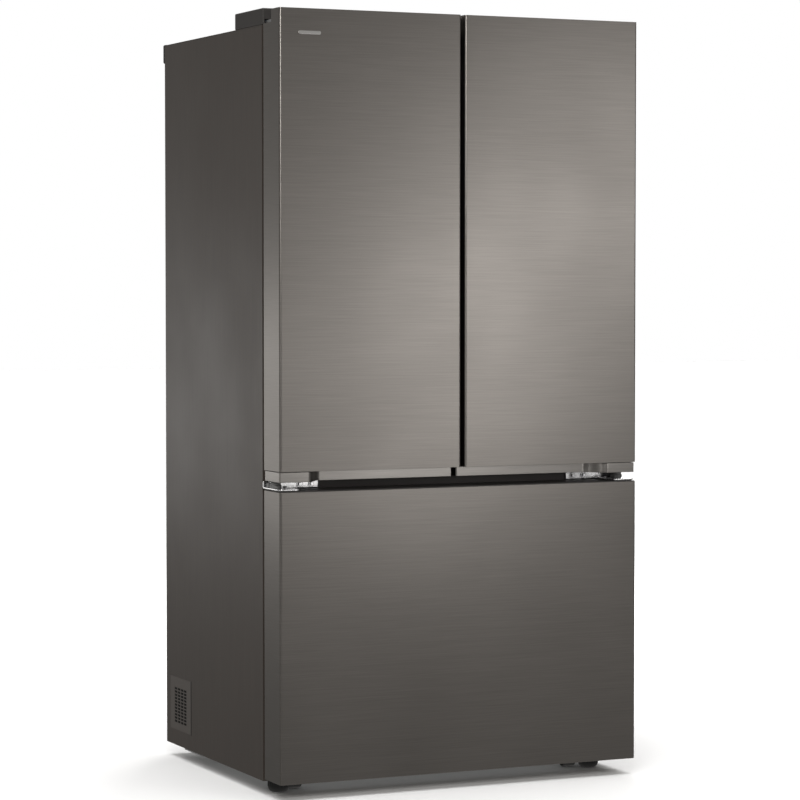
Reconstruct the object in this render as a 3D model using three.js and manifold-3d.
// A counter-depth refrigerator: two fresh food doors above one freezer drawer.
// Millimetres. X runs to the right, Y from the doors to the back, Z up from the floor.

import * as THREE from 'three';
import { mergeVertices } from 'three/addons/utils/BufferGeometryUtils.js';
import Module from 'manifold-3d';

const wasm = await Module();
wasm.setup();

// ---------------------------------------------------------------- overall sizes
const WIDTH = 908;
const CABINET_DEPTH = 635;
const CABINET_TOP = 1746;
const CABINET_BOTTOM = 32;
const DOOR_THICKNESS = 95;
const DOOR_RISE = 31; // how far the doors stand above the cabinet
const SEAL_GAP = 9; // between the closed doors and the cabinet
const CENTRE_GAP = 10; // between the two doors
const SPLIT_HEIGHT = 708; // middle of the gap between the doors and the drawer
const SPLIT_GAP = 20;
const DRAWER_BOTTOM = 37.7;

// ---------------------------------------------------------------- walls and fits
const SHEET = 2; // steel panels
const PLASTIC = 3; // liners, bins and drawers
const FIT = 0.3; // between pieces that touch
const SIDE_WALL = 48; // outside of the cabinet to the inside of its liners
const TOP_WALL = 50;
const BACK_WALL = 60;
const REAR_CAP_DEPTH = 16; // dark strip behind the top rear edge
const CORNER_RADIUS = 5; // front edges of the doors

// ---------------------------------------------------------------- compartments
const FRESH_RISE = 37; // floor of the fresh food space above the middle of the split
const FREEZER_DROP = 40; // ceiling of the freezer below the middle of the split
const FREEZER_FLOOR = 100;
const FOAM_BOTTOM = 64;
const MACHINE_DEPTH = 239; // compartment of the compressor, at the back of the base
const MACHINE_TOP = 285;
const MACHINE_WALL = 45;

// ---------------------------------------------------------------- hinges
const PIN_INSET = 16; // hinge axis to the side of the cabinet
const PIN_SETBACK = 66; // hinge axis to the front of the doors
const PIN_RADIUS = 6;
const PIN_PLAY = 0.5;
const ARM_HALF_WIDTH = 6;
const COVER_HEIGHT = 38;
const COVER_DEPTH = 171;
const COVER_WIDTH = 122;

// ---------------------------------------------------------------- handle in the lower cap of each door
const CAP_HEIGHT = 24;
const CAP_SHALLOW = 6; // set back of the cap beside the hinge
const CAP_DEEP = 48; // set back of the cap at the grip
const GRIP_END = 337; // the grip runs from the middle of the front to here
const CAP_BEND_END = 384;
const POCKET_HEIGHT = 33;

// ---------------------------------------------------------------- feet and rollers
const LEG_X = 403;
const LEG_SETBACK = 34; // behind the cabinet front
const LEG_RADIUS = 24;
const ROLLER_X = 357;
const ROLLER_RADIUS = 17;
const ROLLER_WIDTH = 30;
const ROLLER_LIFT = 1.5; // front rollers clear the floor once the legs are down
const FRONT_ROLLER_SETBACK = 55;
const REAR_ROLLER_INSET = 160; // in front of the cabinet back
const PAN_TOP = 40;

// ---------------------------------------------------------------- inside fittings
const CRISPER_HEIGHT = 236;
const CRISPER_SETBACK = 56; // behind the cabinet front
const CRISPER_SIDE = 30; // wall of the liner to the crisper
const SHELF_SETBACK = 116;
const BIN_DEPTH = 99;
const BIN_HEIGHT = 95;
const BASKET_RISE = 146; // from the step over the machine compartment to the top of the arms
const RAIL_LENGTH = 440;
const RAIL_HEIGHT = 28;
const MULLION_DEPTH = 45;
const MULLION_THICKNESS = 16;
const SEAL_WIDTH = 14;

// ---------------------------------------------------------------- places worked out from the sizes
const HALF = WIDTH / 2;
const FRONT = DOOR_THICKNESS + SEAL_GAP;
const BACK = FRONT + CABINET_DEPTH;
const DOOR_TOP = CABINET_TOP + DOOR_RISE;
const DOOR_BOTTOM = SPLIT_HEIGHT + SPLIT_GAP / 2;
const DRAWER_TOP = SPLIT_HEIGHT - SPLIT_GAP / 2;
const CAP_TOP = DOOR_BOTTOM + CAP_HEIGHT;
const INNER_EDGE = CENTRE_GAP / 2;
const LINER_X = HALF - SIDE_WALL;
const FLANGE_X = LINER_X + PLASTIC + FIT;
const FRESH_CEILING = CABINET_TOP - TOP_WALL;
const FRESH_FLOOR = SPLIT_HEIGHT + FRESH_RISE;
const FREEZER_CEILING = SPLIT_HEIGHT - FREEZER_DROP;
const CRISPER_TOP = FRESH_FLOOR + 4 + CRISPER_HEIGHT;
const FRESH_BACK = BACK - BACK_WALL;
const MACHINE_FRONT = BACK - MACHINE_DEPTH;
const FREEZER_LOW_BACK = MACHINE_FRONT - MACHINE_WALL;
const FREEZER_STEP = MACHINE_TOP + MACHINE_WALL;
const BASKET_TOP = FREEZER_STEP + BASKET_RISE;
const PIN_X = HALF - PIN_INSET;
const PANEL_INSIDE = HALF - SHEET - FIT;
const PANEL_TOP = CABINET_TOP - SHEET - FIT;
const BACK_INSIDE = BACK - SHEET - FIT;
const BIN_ZONE = CRISPER_TOP + 30;
const GASKET_OUTER_X = HALF - 20;
const GASKET_Y = [DOOR_THICKNESS + FIT, FRONT - FIT];
const SIDES = [
  ['left', -1],
  ['right', 1],
];

// ---------------------------------------------------------------- finishes
const BRUSHED_DARK = { color: 0x5c5955, roughness: 0.35, metalness: 0.9 };
const CABINET_PAINT = { color: 0x3c3836, roughness: 0.5, metalness: 0.3 };
const GALVANISED = { color: 0xb8babb, roughness: 0.4, metalness: 0.9 };
const CHROME = { color: 0xd8d8d8, roughness: 0.15, metalness: 1 };
const BLACK_PLASTIC = { color: 0x141414, roughness: 0.6, metalness: 0 };
const GREY_PLASTIC = { color: 0x4a4a4a, roughness: 0.6, metalness: 0 };
const WHITE_PLASTIC = { color: 0xf2f3f2, roughness: 0.4, metalness: 0 };
const CLEAR_PLASTIC = { color: 0xdfe8ea, roughness: 0.1, metalness: 0 };
const GLASS = { color: 0xd5e6e2, roughness: 0.05, metalness: 0 };
const RUBBER = { color: 0x5a5a5a, roughness: 0.8, metalness: 0 };
const FOAM = { color: 0xe4cf94, roughness: 0.9, metalness: 0 };
const ALUMINIUM = { color: 0xc9cbcc, roughness: 0.45, metalness: 1 };
const COMPRESSOR_PAINT = { color: 0x1c1c1e, roughness: 0.35, metalness: 0.4 };

// ---------------------------------------------------------------- solids
const WELD = 1e-4;
const CURVE_STEPS = 5;
const ROUND_STEPS = 24;
const PIN_STEPS = 12;

/** A closed geometry as a solid that can be joined and cut. */
function toSolid(geometry) {
  const bare = geometry.clone();
  for (const name of Object.keys(bare.attributes)) {
    if (name !== 'position') bare.deleteAttribute(name);
  }
  const welded = mergeVertices(bare, WELD);
  const mesh = new wasm.Mesh({
    numProp: 3,
    vertProperties: new Float32Array(welded.attributes.position.array),
    triVerts: new Uint32Array(welded.index.array),
  });
  return new wasm.Manifold(mesh);
}

/** A solid as a geometry for a mesh. */
function toGeometry(solid) {
  const mesh = solid.getMesh();
  const geometry = new THREE.BufferGeometry();
  geometry.setAttribute('position', new THREE.BufferAttribute(mesh.vertProperties, 3));
  geometry.setIndex(new THREE.BufferAttribute(mesh.triVerts, 1));
  geometry.computeVertexNormals();
  return geometry;
}

/** A block between two corners. */
function block([x0, x1], [y0, y1], [z0, z1]) {
  const geometry = new THREE.BoxGeometry(x1 - x0, y1 - y0, z1 - z0);
  geometry.translate((x0 + x1) / 2, (y0 + y1) / 2, (z0 + z1) / 2);
  return toSolid(geometry);
}

/** A shape through points [x, y]. */
function outline(points) {
  return new THREE.Shape(points.map(([x, y]) => new THREE.Vector2(x, y)));
}

/** An outline in X and Y, extruded upwards. */
function upright(shape, [z0, z1]) {
  const settings = { depth: z1 - z0, bevelEnabled: false, curveSegments: CURVE_STEPS };
  const geometry = new THREE.ExtrudeGeometry(shape, settings);
  geometry.translate(0, 0, z0);
  return toSolid(geometry);
}

/** An outline in Y and Z, extruded to the right. */
function across(shape, [x0, x1]) {
  const geometry = new THREE.ExtrudeGeometry(shape, { depth: x1 - x0, bevelEnabled: false });
  const turn = new THREE.Matrix4().set(0, 0, 1, x0, 1, 0, 0, 0, 0, 1, 0, 0, 0, 0, 0, 1);
  geometry.applyMatrix4(turn);
  return toSolid(geometry);
}

/** A round bar along 'x', 'y' or 'z' from one place to another. */
function bar(axis, [x, y, z], radius, [from, to], steps = PIN_STEPS) {
  const geometry = new THREE.CylinderGeometry(radius, radius, to - from, steps);
  const middle = (from + to) / 2;
  if (axis === 'x') geometry.rotateZ(Math.PI / 2).translate(middle, y, z);
  if (axis === 'y') geometry.translate(x, middle, z);
  if (axis === 'z') geometry.rotateX(Math.PI / 2).translate(x, y, middle);
  return toSolid(geometry);
}

/** A solid of revolution about a vertical line, from [radius, height] points. */
function turned(points, x, y, steps = ROUND_STEPS) {
  const profile = points.map(([radius, height]) => new THREE.Vector2(radius, height));
  const geometry = new THREE.LatheGeometry(profile, steps);
  geometry.rotateX(Math.PI / 2).translate(x, y, 0);
  return toSolid(geometry);
}

/** All the given solids as one. */
function joined(first, ...others) {
  return others.reduce((sum, solid) => sum.add(solid), first);
}

/** The first solid without the others. */
function without(first, ...others) {
  return others.reduce((rest, solid) => rest.subtract(solid), first);
}

/** Two distances from the middle, as a span on the given side. */
function span(side, near, far) {
  return side > 0 ? [near, far] : [-far, -near];
}

/** A named mesh with its own material. */
function part(name, solid, finish) {
  const mesh = new THREE.Mesh(toGeometry(solid), new THREE.MeshStandardMaterial(finish));
  mesh.name = name;
  return mesh;
}

/** A tub open at the top: a block with walls and a floor of the given thickness. */
function tub([x0, x1], [y0, y1], [z0, z1], wall) {
  const inside = block([x0 + wall, x1 - wall], [y0 + wall, y1 - wall], [z0 + wall, z1 + wall]);
  return without(block([x0, x1], [y0, y1], [z0, z1]), inside);
}

/** A rectangular seal ring in X and Z. */
function sealRing([x0, x1], [z0, z1]) {
  const outer = block([x0, x1], GASKET_Y, [z0, z1]);
  const innerX = [x0 + SEAL_WIDTH, x1 - SEAL_WIDTH];
  return without(outer, block(innerX, [0, BACK], [z0 + SEAL_WIDTH, z1 - SEAL_WIDTH]));
}

// ---------------------------------------------------------------- cabinet shell
const GRILLE_Y = [BACK - 168, BACK - 26];
const GRILLE_Z = [70, 200];
const GRILLE_COLUMNS = 4;
const GRILLE_ROWS = 11;
const GRILLE_PITCH_Y = 21.3;
const GRILLE_PITCH_Z = 8.03;
const GRILLE_SLOT = [16.5, 4.8];
const GRILLE_FIRST_Y = GRILLE_Y[0] + 39; // middle of the first column
const GRILLE_LAST_Z = GRILLE_Z[1] - 29; // middle of the top row

/** A side panel with its front flange; the left one has an opening for the grille. */
function sidePanel(side) {
  const plan = outline([
    [side * HALF, FRONT],
    [side * HALF, BACK],
    [side * (HALF - SHEET), BACK],
    [side * (HALF - SHEET), FRONT + SHEET],
    [side * FLANGE_X, FRONT + SHEET],
    [side * FLANGE_X, FRONT],
  ]);
  const panel = upright(plan, [CABINET_BOTTOM, PANEL_TOP]);
  if (side > 0) return panel;
  const openingY = [GRILLE_Y[0] - FIT, GRILLE_Y[1] + FIT];
  const openingZ = [GRILLE_Z[0] - FIT, GRILLE_Z[1] + FIT];
  return without(panel, block([-HALF - 1, -HALF + SHEET + 1], openingY, openingZ));
}

/** The top sheet, bent down at the front to meet the liner. */
function topPanel() {
  const sheet = block([-HALF, HALF], [FRONT, BACK], [CABINET_TOP - SHEET, CABINET_TOP]);
  const flangeX = FLANGE_X - FIT;
  const bottom = FRESH_CEILING + PLASTIC + FIT;
  return joined(sheet, block([-flangeX, flangeX], [FRONT, FRONT + SHEET], [bottom, CABINET_TOP]));
}

/** The plate that closes the back above the machine compartment. */
function backPanel() {
  return block([-PANEL_INSIDE, PANEL_INSIDE], [BACK - SHEET, BACK], [MACHINE_TOP + FIT, PANEL_TOP]);
}

/** The slotted plate over the machine compartment, with the hole of the power inlet. */
function machineCover() {
  const slotRows = 4;
  const slotColumns = 9;
  const slotPitchX = 70;
  const slotPitchZ = 22;
  const slots = [];
  for (let row = 0; row < slotRows; row += 1) {
    for (let column = 0; column < slotColumns; column += 1) {
      const x = (column - (slotColumns - 1) / 2) * slotPitchX;
      const z = MACHINE_TOP - 40 - row * slotPitchZ;
      slots.push(block([x - 24, x + 24], [BACK - 10, BACK + 1], [z - 4, z + 4]));
    }
  }
  slots.push(bar('y', [INLET_X, 0, INLET_Z], INLET_RADIUS + FIT, [BACK - 10, BACK + 1]));
  const plate = block([-PANEL_INSIDE, PANEL_INSIDE], [BACK - SHEET, BACK], [PAN_TOP + FIT, MACHINE_TOP]);
  return without(plate, ...slots);
}

const INLET_X = 330;
const INLET_Z = 90;
const INLET_RADIUS = 9;

/** The inlet of the supply cord: a flange, a sleeve in the cover and a way through. */
function powerInlet() {
  const at = [INLET_X, 0, INLET_Z];
  const flange = bar('y', at, INLET_RADIUS + 6, [BACK + FIT, BACK + 12], ROUND_STEPS);
  const sleeve = bar('y', at, INLET_RADIUS, [BACK - SHEET - 6, BACK + 4]);
  const way = bar('y', at, 4, [BACK - 20, BACK + 20]);
  return without(joined(flange, sleeve), way);
}

/** The galvanised floor of the cabinet with the front kick flange and the roller mounts. */
function basePan() {
  const pieces = [
    block([-PANEL_INSIDE, PANEL_INSIDE], [FRONT + SHEET + FIT, BACK_INSIDE], [PAN_TOP - SHEET, PAN_TOP]),
    kickFlange(),
  ];
  for (const [, side] of SIDES) {
    pieces.push(rearFoot(side));
    pieces.push(rollerMount(side, FRONT + FRONT_ROLLER_SETBACK, ROLLER_RADIUS + ROLLER_LIFT));
    pieces.push(rollerMount(side, BACK - REAR_ROLLER_INSET, ROLLER_RADIUS));
  }
  const holes = SIDES.map(([, side]) => {
    return bar('z', [side * LEG_X, FRONT + LEG_SETBACK, 0], STEM_RADIUS + PIN_PLAY, [0, FOAM_BOTTOM]);
  });
  return without(joined(...pieces), ...holes);
}

/** The bent-up front of the base pan, below the freezer opening. */
function kickFlange() {
  const x = FLANGE_X - FIT;
  const wall = block([-x, x], [FRONT, FRONT + SHEET], [PAN_TOP - SHEET, FREEZER_FLOOR - PLASTIC - FIT]);
  return joined(wall, block([-x, x], [FRONT, FRONT + 3 * SHEET], [PAN_TOP - SHEET, PAN_TOP]));
}

/** The stiffening rib that shows below a side panel, towards the back. */
function rearFoot(side) {
  const ribBottom = 25;
  const shape = outline([
    [BACK - 263, PAN_TOP - 1],
    [BACK - 227, ribBottom],
    [BACK - 102, ribBottom],
    [BACK - 90, PAN_TOP - 1],
  ]);
  return across(shape, span(side, HALF - 12, HALF - 9));
}

/** Two cheeks and an axle that carry one roller. */
function rollerMount(side, y, axleZ) {
  const reach = ROLLER_WIDTH / 2 + 1;
  const cheek = outline([
    [y - 14, PAN_TOP - 1],
    [y - 7, axleZ - 7],
    [y + 7, axleZ - 7],
    [y + 14, PAN_TOP - 1],
  ]);
  return joined(
    across(cheek, span(side, ROLLER_X - reach - 3, ROLLER_X - reach)),
    across(cheek, span(side, ROLLER_X + reach, ROLLER_X + reach + 3)),
    bar('x', [0, y, axleZ], AXLE_RADIUS, span(side, ROLLER_X - reach - 2, ROLLER_X + reach + 2)),
  );
}

/** The slotted plastic plate in the left side panel, beside the machine compartment. */
function sideVentGrille() {
  const slots = [];
  for (let column = 0; column < GRILLE_COLUMNS; column += 1) {
    for (let row = 0; row < GRILLE_ROWS; row += 1) {
      const y = GRILLE_FIRST_Y + column * GRILLE_PITCH_Y;
      const z = GRILLE_LAST_Z - row * GRILLE_PITCH_Z;
      const [length, height] = GRILLE_SLOT;
      const spanY = [y - length / 2, y + length / 2];
      slots.push(block([-HALF - 1, -HALF + 10], spanY, [z - height / 2, z + height / 2]));
    }
  }
  return without(block([-HALF, -HALF + SHEET], GRILLE_Y, GRILLE_Z), ...slots);
}

/** The dark strip behind the cabinet's top rear edge. */
function rearTopCap() {
  const capHeight = 46;
  const z = [CABINET_TOP + 2 - capHeight, CABINET_TOP + 2];
  return block([-HALF + 1, HALF - 1], [BACK + FIT, BACK + REAR_CAP_DEPTH], z);
}

/** The cover of the front rail between the two compartments. */
function frontRail() {
  const x = FLANGE_X - FIT;
  const z = [FREEZER_CEILING + PLASTIC + FIT, FRESH_FLOOR - PLASTIC - FIT];
  return block([-x, x], [FRONT, FRONT + SHEET], z);
}

// ---------------------------------------------------------------- liners and foam

/** The freezer space in Y and Z, grown by a margin: it steps over the machine compartment. */
function freezerOutline(margin, front) {
  return outline([
    [front, FREEZER_FLOOR - margin],
    [FREEZER_LOW_BACK + margin, FREEZER_FLOOR - margin],
    [FREEZER_LOW_BACK + margin, FREEZER_STEP - margin],
    [FRESH_BACK + margin, FREEZER_STEP - margin],
    [FRESH_BACK + margin, FREEZER_CEILING + margin],
    [front, FREEZER_CEILING + margin],
  ]);
}

/** The fresh food space, grown by a margin. */
function freshSpace(margin, front) {
  const x = LINER_X + margin;
  return block([-x, x], [front, FRESH_BACK + margin], [FRESH_FLOOR - margin, FRESH_CEILING + margin]);
}

/** The foam between the panels and the liners. */
function cabinetFoam() {
  const front = FRONT + SHEET + FIT;
  const body = across(
    outline([
      [front, FOAM_BOTTOM],
      [MACHINE_FRONT, FOAM_BOTTOM],
      [MACHINE_FRONT, MACHINE_TOP],
      [BACK_INSIDE, MACHINE_TOP],
      [BACK_INSIDE, PANEL_TOP],
      [front, PANEL_TOP],
    ]),
    [-PANEL_INSIDE, PANEL_INSIDE],
  );
  const freezerX = LINER_X + PLASTIC + FIT;
  const freezer = across(freezerOutline(PLASTIC + FIT, 0), [-freezerX, freezerX]);
  return without(body, freshSpace(PLASTIC + FIT, 0), freezer);
}

/** The moulded tub of the fresh food space, with shelf ledges and the raised air duct. */
function freshFoodLiner() {
  const tubSolid = without(freshSpace(PLASTIC, FRONT), freshSpace(0, 0));
  const ductX = 110;
  const ductDepth = 14;
  const ductY = [FRESH_BACK - ductDepth, FRESH_BACK + 1];
  const duct = block([-ductX, ductX], ductY, [CRISPER_TOP + 25, FRESH_CEILING - 55]);
  const ledges = SHELF_LEVELS.flatMap((level) => SIDES.map(([, side]) => ledge(side, level)));
  return joined(tubSolid, duct, ...ledges);
}

/** A ledge on a side wall of the liner that carries a shelf. */
function ledge(side, level) {
  const y = [SHELF_Y[0] + SHELF_LIP + FIT, FRESH_BACK - 20];
  return block(span(side, LINER_X - 12, LINER_X + 1), y, [level - 9, level - FIT]);
}

/** The moulded tub of the freezer, with the ledges that guide the drawer's rails. */
function freezerLiner() {
  const x = LINER_X + PLASTIC;
  const shell = across(freezerOutline(PLASTIC, FRONT), [-x, x]);
  const tubSolid = without(shell, across(freezerOutline(0, 0), [-LINER_X, LINER_X]));
  const y = [FRONT + 12, FRONT + 20 + RAIL_LENGTH];
  const guides = SIDES.flatMap(([, side]) => [
    block(span(side, RAIL_X, LINER_X + 1), y, [RAIL_TOP + FIT, RAIL_TOP + 5]),
    block(span(side, RAIL_X, LINER_X + 1), y, [RAIL_TOP - RAIL_HEIGHT - 5, RAIL_TOP - RAIL_HEIGHT - FIT]),
  ]);
  return joined(tubSolid, ...guides);
}

// ---------------------------------------------------------------- cooling
const FAN_SHROUD_RADIUS = 54;
const FREEZER_FAN_Z = FREEZER_CEILING - 68;
const COVER_Y = FRESH_BACK - 89;

/** The plate in front of the evaporator with the opening of its fan. */
function evaporatorCover() {
  const x = LINER_X - 1;
  const y = [COVER_Y, COVER_Y + SHEET];
  const plate = block([-x, x], y, [FREEZER_STEP + 1, FREEZER_CEILING - 1]);
  return without(plate, bar('y', [0, 0, FREEZER_FAN_Z], FAN_SHROUD_RADIUS, [0, BACK], ROUND_STEPS));
}

/** A block of fins joined by a plate at the back and one at each end. */
function finBlock([x0, x1], [y0, y1], [z0, z1], finCount) {
  const pitch = (x1 - x0 - SHEET) / (finCount - 1);
  const gaps = [];
  for (let fin = 0; fin < finCount - 1; fin += 1) {
    const start = x0 + SHEET + fin * pitch;
    gaps.push(block([start, start + pitch - SHEET], [y0 - 1, y1 - 8], [z0 - 1, z1 + 1]));
  }
  return without(block([x0, x1], [y0, y1], [z0, z1]), ...gaps);
}

/** The fin block that cools the freezer air. */
function evaporator() {
  const y = [COVER_Y + 28, COVER_Y + 74];
  return finBlock([-300, 300], y, [FREEZER_STEP + 15, FREEZER_FAN_Z - 65], 25);
}

/** The fin block that sheds the heat, in the machine compartment. */
function condenser() {
  return finBlock([-400, -230], [MACHINE_FRONT + 40, MACHINE_FRONT + 180], [PAN_TOP + FIT, 185], 16);
}

/** The compressor: a domed shell on a foot plate. */
function compressor() {
  const x = 190;
  const y = MACHINE_FRONT + 120;
  const base = PAN_TOP + FIT;
  const shell = turned([
    [0, base + 4],
    [70, base + 4],
    [78, base + 16],
    [78, base + 95],
    [72, base + 125],
    [55, base + 146],
    [28, base + 157],
    [0, base + 160],
  ], x, y);
  return joined(shell, block([x - 105, x + 105], [y - 60, y + 60], [base, base + 6]));
}

/** A bladed fan about Y, with its hub. */
function fan([x, y, z], radius, depth) {
  const bladeCount = 5;
  const hubRadius = radius * 0.32;
  let solid = bar('y', [x, y, z], hubRadius, [y - depth / 2, y + depth / 2], ROUND_STEPS);
  for (let blade = 0; blade < bladeCount; blade += 1) {
    const wide = radius * 0.34;
    const geometry = new THREE.BoxGeometry(radius - hubRadius + 3, SHEET, wide * 2);
    geometry.rotateX(0.5);
    geometry.translate((radius + hubRadius - 3) / 2, 0, 0);
    geometry.rotateY((2 * Math.PI * blade) / bladeCount);
    geometry.translate(x, y, z);
    solid = solid.add(toSolid(geometry));
  }
  return solid;
}

// ---------------------------------------------------------------- fresh food fittings
const SHELF_LEVEL_COUNT = 2;
const SHELF_LEVELS = [];
for (let level = 1; level <= SHELF_LEVEL_COUNT; level += 1) {
  SHELF_LEVELS.push(CRISPER_TOP + (level * (FRESH_CEILING - CRISPER_TOP)) / (SHELF_LEVEL_COUNT + 1));
}
const SHELF_Y = [FRONT + SHELF_SETBACK, FRESH_BACK - 18];
const SHELF_LIP = 14;

/** A shelf with raised front and side edges. */
function shelf([x0, x1], level) {
  const plate = block([x0, x1], SHELF_Y, [level, level + 6]);
  const lip = block([x0, x1], [SHELF_Y[0], SHELF_Y[0] + SHELF_LIP], [level - 12, level + 11]);
  return joined(plate, lip);
}

/** The glass cover over the crispers on its two side walls. */
function crisperFrame() {
  const y = [FRONT + CRISPER_SETBACK + 5, FRESH_BACK - FIT];
  const x = LINER_X - FIT;
  const wallX = LINER_X - CRISPER_SIDE + 4;
  const plate = block([-x, x], y, [CRISPER_TOP + 6, CRISPER_TOP + 14]);
  const walls = SIDES.map(([, side]) => {
    return block(span(side, wallX, wallX + PLASTIC), y, [FRESH_FLOOR + FIT, CRISPER_TOP + 7]);
  });
  return joined(plate, ...walls);
}

/** A crisper drawer, open at the top, with a grip lip at the front. */
function crisper(side) {
  const x = span(side, CENTRE_GAP / 2 - 1, LINER_X - CRISPER_SIDE);
  const y = [FRONT + CRISPER_SETBACK, FRESH_BACK - 30];
  const body = tub(x, y, [FRESH_FLOOR + 4, CRISPER_TOP], PLASTIC);
  const grip = block([x[0] + 60, x[1] - 60], [y[0] - 9, y[0] + 1], [CRISPER_TOP - 34, CRISPER_TOP - 28]);
  return joined(body, grip);
}

/** The control panel with the lamp window, under the ceiling. */
function controlPanel() {
  const y = [FRONT + SHELF_SETBACK + 5, FRONT + SHELF_SETBACK + 115];
  return block([-150, 150], y, [FRESH_CEILING - 18, FRESH_CEILING - FIT]);
}

// ---------------------------------------------------------------- feet and rollers
const STEM_RADIUS = 6;
const AXLE_RADIUS = 4;

/** A levelling leg: a rounded foot on a threaded stem through the base pan. */
function levelingLeg(side) {
  const profile = [
    [0, 0],
    [14, 0],
    [20, 3],
    [LEG_RADIUS, 10],
    [LEG_RADIUS, 26],
    [22, 29],
    [STEM_RADIUS, 29],
    [STEM_RADIUS, FOAM_BOTTOM - 4],
    [0, FOAM_BOTTOM - 4],
  ];
  return turned(profile, side * LEG_X, FRONT + LEG_SETBACK);
}

/** A roller with a bore for its axle. */
function roller(side, y, axleZ) {
  const x = span(side, ROLLER_X - ROLLER_WIDTH / 2, ROLLER_X + ROLLER_WIDTH / 2);
  const wheel = bar('x', [0, y, axleZ], ROLLER_RADIUS, x, ROUND_STEPS);
  return without(wheel, bar('x', [0, y, axleZ], AXLE_RADIUS + PIN_PLAY, [x[0] - 1, x[1] + 1]));
}

// ---------------------------------------------------------------- hinges

/** The top hinge: a plate on the cabinet, an arm over the door's notch and a pin. */
function topHinge(side) {
  const base = CABINET_TOP + FIT;
  const armZ = [base + 4, base + 10];
  const tip = PIN_SETBACK - ARM_HALF_WIDTH - 2;
  return joined(
    block(span(side, HALF - 108, HALF - 6), [FRONT + 8, FRONT + 130], [base, base + 4]),
    block(span(side, HALF - 60, HALF - 6), [FRONT + 8, FRONT + 50], [base + 3, armZ[1]]),
    block(span(side, PIN_X - ARM_HALF_WIDTH, PIN_X + ARM_HALF_WIDTH), [tip, FRONT + 9], armZ),
    bar('z', [side * PIN_X, PIN_SETBACK, 0], PIN_RADIUS, [CABINET_TOP - 12, armZ[0] + 1]),
  );
}

/** The cover over the top hinge, open below and where the arm passes. */
function hingeCover(side) {
  const x = span(side, HALF - COVER_WIDTH, HALF - 2);
  const y = [FRONT + FIT, FRONT + COVER_DEPTH];
  const z = [CABINET_TOP + FIT, CABINET_TOP + COVER_HEIGHT];
  const hollow = block(
    [x[0] + PLASTIC, x[1] - PLASTIC],
    [y[0] + PLASTIC, y[1] - PLASTIC],
    [z[0] - 1, z[1] - PLASTIC],
  );
  const armX = span(side, PIN_X - ARM_HALF_WIDTH - 2, PIN_X + ARM_HALF_WIDTH + 2);
  const slot = block(armX, [y[0] - 1, y[0] + PLASTIC + 1], [z[0] - 1, CABINET_TOP + 14]);
  return without(block(x, y, z), hollow, slot);
}

/** The middle hinge: a plate between door and drawer, a screw flange and the pin of the door. */
function midHinge(side) {
  const plateZ = [DRAWER_TOP + 1, DRAWER_TOP + 5];
  const bossTop = DOOR_BOTTOM - FIT;
  const back = FRONT - FIT;
  const pin = [side * PIN_X, PIN_SETBACK, 0];
  return joined(
    block(span(side, HALF - 54, HALF), [6, back], plateZ),
    block(span(side, HALF - 134, HALF), [back - 5, back], [plateZ[0], bossTop - 2]),
    block(span(side, PIN_X - 14, PIN_X + 14), [PIN_SETBACK - 21, PIN_SETBACK + 22], [plateZ[0], bossTop - 4]),
    bar('z', pin, PIN_RADIUS + 6, [plateZ[0], bossTop], ROUND_STEPS),
    bar('z', pin, PIN_RADIUS, [plateZ[0], DOOR_BOTTOM + 16]),
  );
}

// ---------------------------------------------------------------- doors
const NOTCH_X = HALF - 54;
const NOTCH_FRONT = 48.5;
const NOTCH_FLOOR = DOOR_TOP - 29;
const SKIN_INSIDE = HALF - SHEET - FIT;
const SKIN_INNER_EDGE = INNER_EDGE + SHEET + FIT;
const LINER_PLATE_Y = [DOOR_THICKNESS - PLASTIC, DOOR_THICKNESS];
const CORE_BACK = LINER_PLATE_Y[0] - FIT;

/** The corner cut out of a door's top for the hinge arm. */
function hingeNotch(side) {
  return block(span(side, NOTCH_X, HALF + 5), [NOTCH_FRONT, FRONT], [NOTCH_FLOOR, DOOR_TOP + 5]);
}

/** A front in plan, filled: rounded front corners, shrunk by an inset, and a square back. */
function frontPlan([x0, x1], inset, back) {
  const middle = CORNER_RADIUS;
  const radius = CORNER_RADIUS - inset;
  const shape = new THREE.Shape();
  shape.moveTo(x0 + inset, back);
  shape.lineTo(x0 + inset, middle);
  shape.absarc(x0 + middle, middle, radius, Math.PI, 1.5 * Math.PI, false);
  shape.lineTo(x1 - middle, inset);
  shape.absarc(x1 - middle, middle, radius, 1.5 * Math.PI, 2 * Math.PI, false);
  shape.lineTo(x1 - inset, back);
  return shape;
}

/** The steel skin of a door: its front and both sides, cut at the hinge notch. */
function doorSkin(side) {
  const x = span(side, INNER_EDGE, HALF);
  const outer = upright(frontPlan(x, 0, DOOR_THICKNESS), [CAP_TOP, DOOR_TOP]);
  const inner = upright(frontPlan(x, SHEET, FRONT), [CAP_TOP - 1, DOOR_TOP + 1]);
  return without(outer, inner, hingeNotch(side));
}

/** The front edge of the lower cap in plan, from beside the hinge to the deep grip. */
function capOutline(side) {
  const bendSteps = 10;
  const outer = HALF - 1;
  const points = [
    [side * outer, DOOR_THICKNESS],
    [side * outer, CAP_SHALLOW],
  ];
  for (let step = 0; step <= bendSteps; step += 1) {
    const share = step / bendSteps;
    const x = CAP_BEND_END + (GRIP_END - CAP_BEND_END) * share;
    const ease = (1 - Math.cos(Math.PI * share)) / 2;
    points.push([side * x, CAP_SHALLOW + (CAP_DEEP - CAP_SHALLOW) * ease]);
  }
  points.push([side * (INNER_EDGE + 0.5), CAP_DEEP]);
  points.push([side * (INNER_EDGE + 0.5), DOOR_THICKNESS]);
  return outline(points);
}

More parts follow.
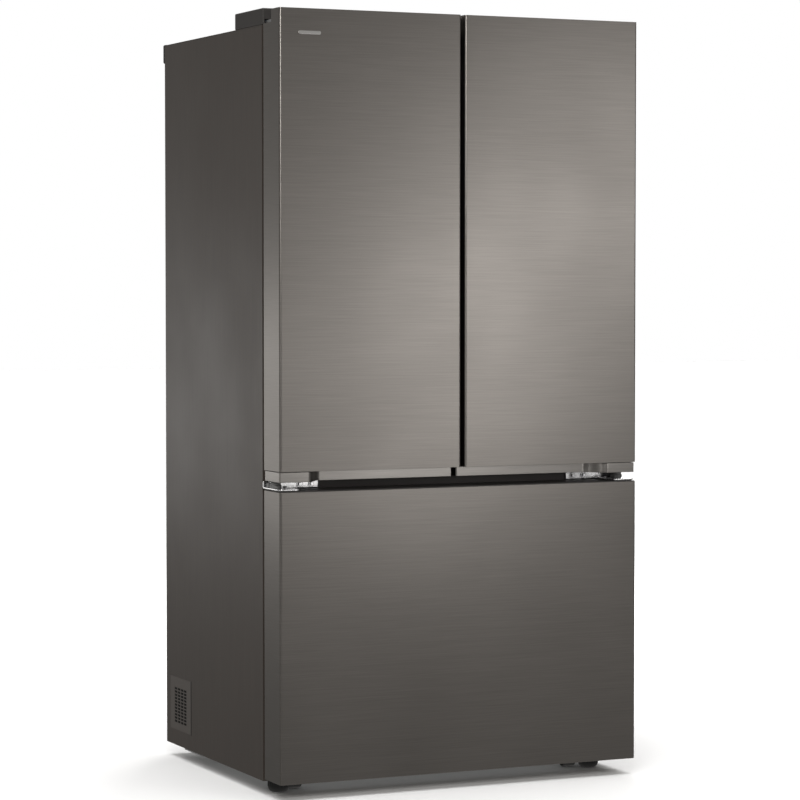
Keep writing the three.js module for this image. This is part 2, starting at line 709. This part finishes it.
/** The lower cap: the strip below the skin, and the walls of the grip pocket behind it. */
function doorHandleCap(side) {
  const x = [SKIN_INNER_EDGE, SKIN_INSIDE];
  const pocketTop = CAP_TOP + POCKET_HEIGHT;
  const front = SHEET + FIT;
  const wallY = [CAP_DEEP + 2, CORE_BACK];
  const strip = upright(capOutline(side), [DOOR_BOTTOM, CAP_TOP - FIT]);
  const body = joined(
    without(strip, block([-HALF, HALF], [CORE_BACK, FRONT], [0, CAP_TOP])),
    block(span(side, ...x), wallY, [CAP_TOP - 1, pocketTop + PLASTIC]),
    block(span(side, x[0] + 3, x[1] - 3), [front, CORE_BACK], [pocketTop, pocketTop + PLASTIC]),
    block(span(side, CAP_BEND_END + 5, x[1] - 3), [CAP_SHALLOW + 2, CORE_BACK], [CAP_TOP - 1, pocketTop + 1]),
  );
  const bore = [side * PIN_X, PIN_SETBACK, 0];
  return without(body, bar('z', bore, PIN_RADIUS + PIN_PLAY, [DOOR_BOTTOM - 1, DOOR_BOTTOM + 18]));
}

/** The top cap of a door, with the hinge notch and the bore of the top pin. */
function doorTopCap(side) {
  const front = SHEET + FIT;
  const plate = block(
    span(side, SKIN_INNER_EDGE, SKIN_INSIDE - 3), [front + 3, CORE_BACK], [DOOR_TOP - 8, DOOR_TOP - 1],
  );
  const blockX = span(side, NOTCH_X - 8, SKIN_INSIDE);
  const hingeBlock = block(blockX, [NOTCH_FRONT - 9, CORE_BACK], [NOTCH_FLOOR - 16, DOOR_TOP - 7]);
  const bore = [side * PIN_X, PIN_SETBACK, 0];
  const cutter = bar('z', bore, PIN_RADIUS + PIN_PLAY, [NOTCH_FLOOR - 14, DOOR_TOP]);
  return without(joined(plate, hingeBlock), hingeNotch(side), cutter);
}

/** The inner liner of a door: its plate, the ribs that hold the bins and the mullion's lugs. */
function doorLiner(side) {
  const plate = block(
    span(side, SKIN_INNER_EDGE, SKIN_INSIDE), LINER_PLATE_Y, [DOOR_BOTTOM + 2, DOOR_TOP - 1],
  );
  const ribs = [INNER_EDGE + 39, RIB_OUTER_X].map((x) => {
    return block(span(side, x, x + RIB_WIDTH), [DOOR_THICKNESS - 1, RIB_Y], [BIN_ZONE, FRESH_CEILING - 10]);
  });
  const body = joined(plate, ...ribs);
  const shaped = without(body, hingeNotch(side));
  return side < 0 ? joined(shaped, ...mullionLugs()) : shaped;
}

const RIB_WIDTH = 14;
const RIB_OUTER_X = LINER_X - 24;
const RIB_Y = 128;

/** The soft magnetic seal around the back of a door. */
function doorGasket(side) {
  const x = span(side, INNER_EDGE + 5, GASKET_OUTER_X);
  return sealRing(x, [DOOR_BOTTOM + 5, FRESH_CEILING + 30]);
}

/** A door bin at the given height, open at the top. */
function doorBin(side, bottom) {
  const x = span(side, INNER_EDGE + 39 + RIB_WIDTH + FIT, RIB_OUTER_X - FIT);
  const y = [DOOR_THICKNESS + FIT, DOOR_THICKNESS + FIT + BIN_DEPTH];
  return tub(x, y, [bottom, bottom + BIN_HEIGHT], PLASTIC);
}

const BIN_LEVELS = {
  lower: BIN_ZONE + 5,
  upper: BIN_ZONE + 5 + (FRESH_CEILING - BIN_ZONE) / 2,
};

// ---------------------------------------------------------------- folding mullion
const MULLION_PIN = [-17, FRONT + 7];
const MULLION_Z = [FRESH_FLOOR + 25, FRESH_CEILING - 26];
const MULLION_PIN_RADIUS = 3;

/** The bar between the doors, folded back against the left door. */
function flipMullion() {
  const [pinX, pinY] = MULLION_PIN;
  const x = [pinX - MULLION_THICKNESS + 5, pinX + 5];
  const body = block(x, [pinY - 4, pinY - 4 + MULLION_DEPTH], MULLION_Z);
  const bores = MULLION_Z.map((z) => {
    return bar('z', [pinX, pinY, 0], MULLION_PIN_RADIUS + 0.4, [z - 12, z + 12]);
  });
  return without(body, ...bores);
}

/** The lugs and pins on the left door that carry the mullion. */
function mullionLugs() {
  const [pinX, pinY] = MULLION_PIN;
  const standX = pinX - 18;
  const [low, high] = MULLION_Z;
  return [[low - 18, low - 2, low + 8], [high + 18, high + 2, high - 8]].flatMap(([far, near, tip]) => {
    const z = [Math.min(far, near), Math.max(far, near)];
    const pin = [Math.min(near, tip), Math.max(near, tip)];
    return [
      block([standX - 8, standX], [DOOR_THICKNESS - 1, pinY + 6], z),
      block([standX - 1, pinX + 5], [pinY - 6, pinY + 6], z),
      bar('z', [pinX, pinY, 0], MULLION_PIN_RADIUS, [pin[0] - 1, pin[1] + 1]),
    ];
  });
}

// ---------------------------------------------------------------- freezer drawer
const RAIL_TOP = BASKET_TOP - 2;
const RAIL_X = LINER_X - 12;
const ARM_X = [LINER_X - 18, LINER_X - 13];
const RAIL_FRONT = FRONT + 16;

/** The steel skin of the drawer: front, sides, top and bottom. */
function drawerSkin() {
  const outer = upright(frontPlan([-HALF, HALF], 0, DOOR_THICKNESS), [DRAWER_BOTTOM, DRAWER_TOP]);
  const innerZ = [DRAWER_BOTTOM + SHEET, DRAWER_TOP - SHEET];
  return without(outer, upright(frontPlan([-HALF, HALF], SHEET, FRONT), innerZ));
}

/** The plate that closes the back of the drawer front. */
function drawerLiner() {
  const z = [DRAWER_BOTTOM + SHEET + FIT, DRAWER_TOP - SHEET - FIT];
  return block([-SKIN_INSIDE, SKIN_INSIDE], LINER_PLATE_Y, z);
}

/** The soft magnetic seal around the back of the drawer front. */
function drawerGasket() {
  const z = [FREEZER_FLOOR - 30, FREEZER_CEILING + 22];
  return sealRing([-GASKET_OUTER_X, GASKET_OUTER_X], z);
}

/** The slide frame: a cross plate on the drawer front and an arm on each side. */
function drawerFrame() {
  const z = [RAIL_TOP - RAIL_HEIGHT, BASKET_TOP];
  const arms = SIDES.map(([, side]) => {
    return block(span(side, ...ARM_X), [DOOR_THICKNESS + FIT, RAIL_FRONT + RAIL_LENGTH], z);
  });
  const plate = block([-ARM_X[1], ARM_X[1]], [DOOR_THICKNESS + FIT, DOOR_THICKNESS + FIT + 4], z);
  return joined(plate, ...arms);
}

/** The deep freezer basket, whose rim rests on the arms. */
function freezerBasket() {
  const x = ARM_X[0] - 4;
  const y = [FRONT + 12, FREEZER_LOW_BACK - 12];
  const z = [FREEZER_FLOOR + 18, BASKET_TOP + 2];
  const rimX = ARM_X[1] - 1;
  const rim = block([-rimX, rimX], y, [BASKET_TOP + FIT, BASKET_TOP + 4]);
  const innerY = [y[0] + PLASTIC, y[1] - PLASTIC];
  const inside = block([-x + PLASTIC, x - PLASTIC], innerY, [z[0] + PLASTIC, z[1] + 9]);
  return without(joined(block([-x, x], y, z), rim), inside);
}

/** The middle member of a telescopic rail. */
function railMiddle(side) {
  const x = span(side, ARM_X[1] + 2, LINER_X - 5);
  return block(x, [RAIL_FRONT, RAIL_FRONT + RAIL_LENGTH], [RAIL_TOP - RAIL_HEIGHT, RAIL_TOP]);
}

// ---------------------------------------------------------------- assembly

/** Every fixed piece of the cabinet. */
function cabinetParts() {
  const fixed = [
    part('top_panel', topPanel(), CABINET_PAINT),
    part('back_panel', backPanel(), GALVANISED),
    part('machine_cover', machineCover(), BLACK_PLASTIC),
    part('base_pan', basePan(), GALVANISED),
    part('rear_top_cap', rearTopCap(), BLACK_PLASTIC),
    part('front_rail', frontRail(), CABINET_PAINT),
    part('cabinet_foam', cabinetFoam(), FOAM),
    part('fresh_food_liner', freshFoodLiner(), WHITE_PLASTIC),
    part('freezer_liner', freezerLiner(), WHITE_PLASTIC),
    part('side_vent_grille', sideVentGrille(), BLACK_PLASTIC),
    part('compressor', compressor(), COMPRESSOR_PAINT),
    part('condenser', condenser(), ALUMINIUM),
    part('evaporator', evaporator(), ALUMINIUM),
    part('evaporator_cover', evaporatorCover(), WHITE_PLASTIC),
    part('crisper_frame', crisperFrame(), GLASS),
    part('shelf_lower_left', shelf([-LINER_X + FIT, -3], SHELF_LEVELS[0]), GLASS),
    part('shelf_lower_right', shelf([3, LINER_X - FIT], SHELF_LEVELS[0]), GLASS),
    part('shelf_upper', shelf([-LINER_X + FIT, LINER_X - FIT], SHELF_LEVELS[1]), GLASS),
    part('control_panel', controlPanel(), WHITE_PLASTIC),
    part('power_inlet', powerInlet(), BLACK_PLASTIC),
  ];
  for (const [name, side] of SIDES) {
    fixed.push(part(`side_panel_${name}`, sidePanel(side), CABINET_PAINT));
    fixed.push(part(`top_hinge_${name}`, topHinge(side), GALVANISED));
    fixed.push(part(`hinge_cover_${name}`, hingeCover(side), GREY_PLASTIC));
    fixed.push(part(`mid_hinge_${name}`, midHinge(side), CHROME));
  }
  return fixed;
}

/** The fan beside the condenser, which blows across the machine compartment. */
function condenserFan() {
  const mesh = part('condenser_fan', fan([0, 0, 0], 62, 24), BLACK_PLASTIC);
  mesh.rotation.z = Math.PI / 2;
  mesh.position.set(-175, MACHINE_FRONT + 110, PAN_TOP + 80);
  return mesh;
}

/** Every piece that moves on the cabinet: feet, rollers, fans, crispers and rails. */
function movingParts() {
  const fanAt = [0, COVER_Y + 16, FREEZER_FAN_Z];
  const moving = [
    condenserFan(),
    part('evaporator_fan', fan(fanAt, FAN_SHROUD_RADIUS - 6, 18), WHITE_PLASTIC),
  ];
  const frontY = FRONT + FRONT_ROLLER_SETBACK;
  const rearY = BACK - REAR_ROLLER_INSET;
  const frontZ = ROLLER_RADIUS + ROLLER_LIFT;
  for (const [name, side] of SIDES) {
    moving.push(part(`leveling_leg_${name}`, levelingLeg(side), BLACK_PLASTIC));
    moving.push(part(`front_roller_${name}`, roller(side, frontY, frontZ), BLACK_PLASTIC));
    moving.push(part(`rear_roller_${name}`, roller(side, rearY, ROLLER_RADIUS), BLACK_PLASTIC));
    moving.push(part(`crisper_${name}`, crisper(side), CLEAR_PLASTIC));
    moving.push(part(`rail_middle_${name}`, railMiddle(side), GALVANISED));
  }
  return moving;
}

/** The two doors, with the mullion on the left one. */
function doorParts() {
  const doors = [part('flip_mullion', flipMullion(), GREY_PLASTIC)];
  for (const [name, side] of SIDES) {
    doors.push(part(`door_skin_${name}`, doorSkin(side), BRUSHED_DARK));
    doors.push(part(`door_handle_cap_${name}`, doorHandleCap(side), BRUSHED_DARK));
    doors.push(part(`door_top_cap_${name}`, doorTopCap(side), GREY_PLASTIC));
    doors.push(part(`door_liner_${name}`, doorLiner(side), WHITE_PLASTIC));
    doors.push(part(`door_gasket_${name}`, doorGasket(side), RUBBER));
    for (const [level, bottom] of Object.entries(BIN_LEVELS)) {
      doors.push(part(`door_bin_${level}_${name}`, doorBin(side, bottom), CLEAR_PLASTIC));
    }
  }
  return doors;
}

/** The freezer drawer. */
function drawerParts() {
  return [
    part('drawer_skin', drawerSkin(), BRUSHED_DARK),
    part('drawer_liner', drawerLiner(), WHITE_PLASTIC),
    part('drawer_gasket', drawerGasket(), RUBBER),
    part('drawer_frame', drawerFrame(), GALVANISED),
    part('freezer_basket', freezerBasket(), CLEAR_PLASTIC),
  ];
}

// The origin is on the floor, under the middle of the whole appliance.
const refrigerator = new THREE.Group();
refrigerator.position.y = -(BACK + REAR_CAP_DEPTH) / 2;
refrigerator.add(...cabinetParts(), ...movingParts(), ...doorParts(), ...drawerParts());

export default refrigerator;
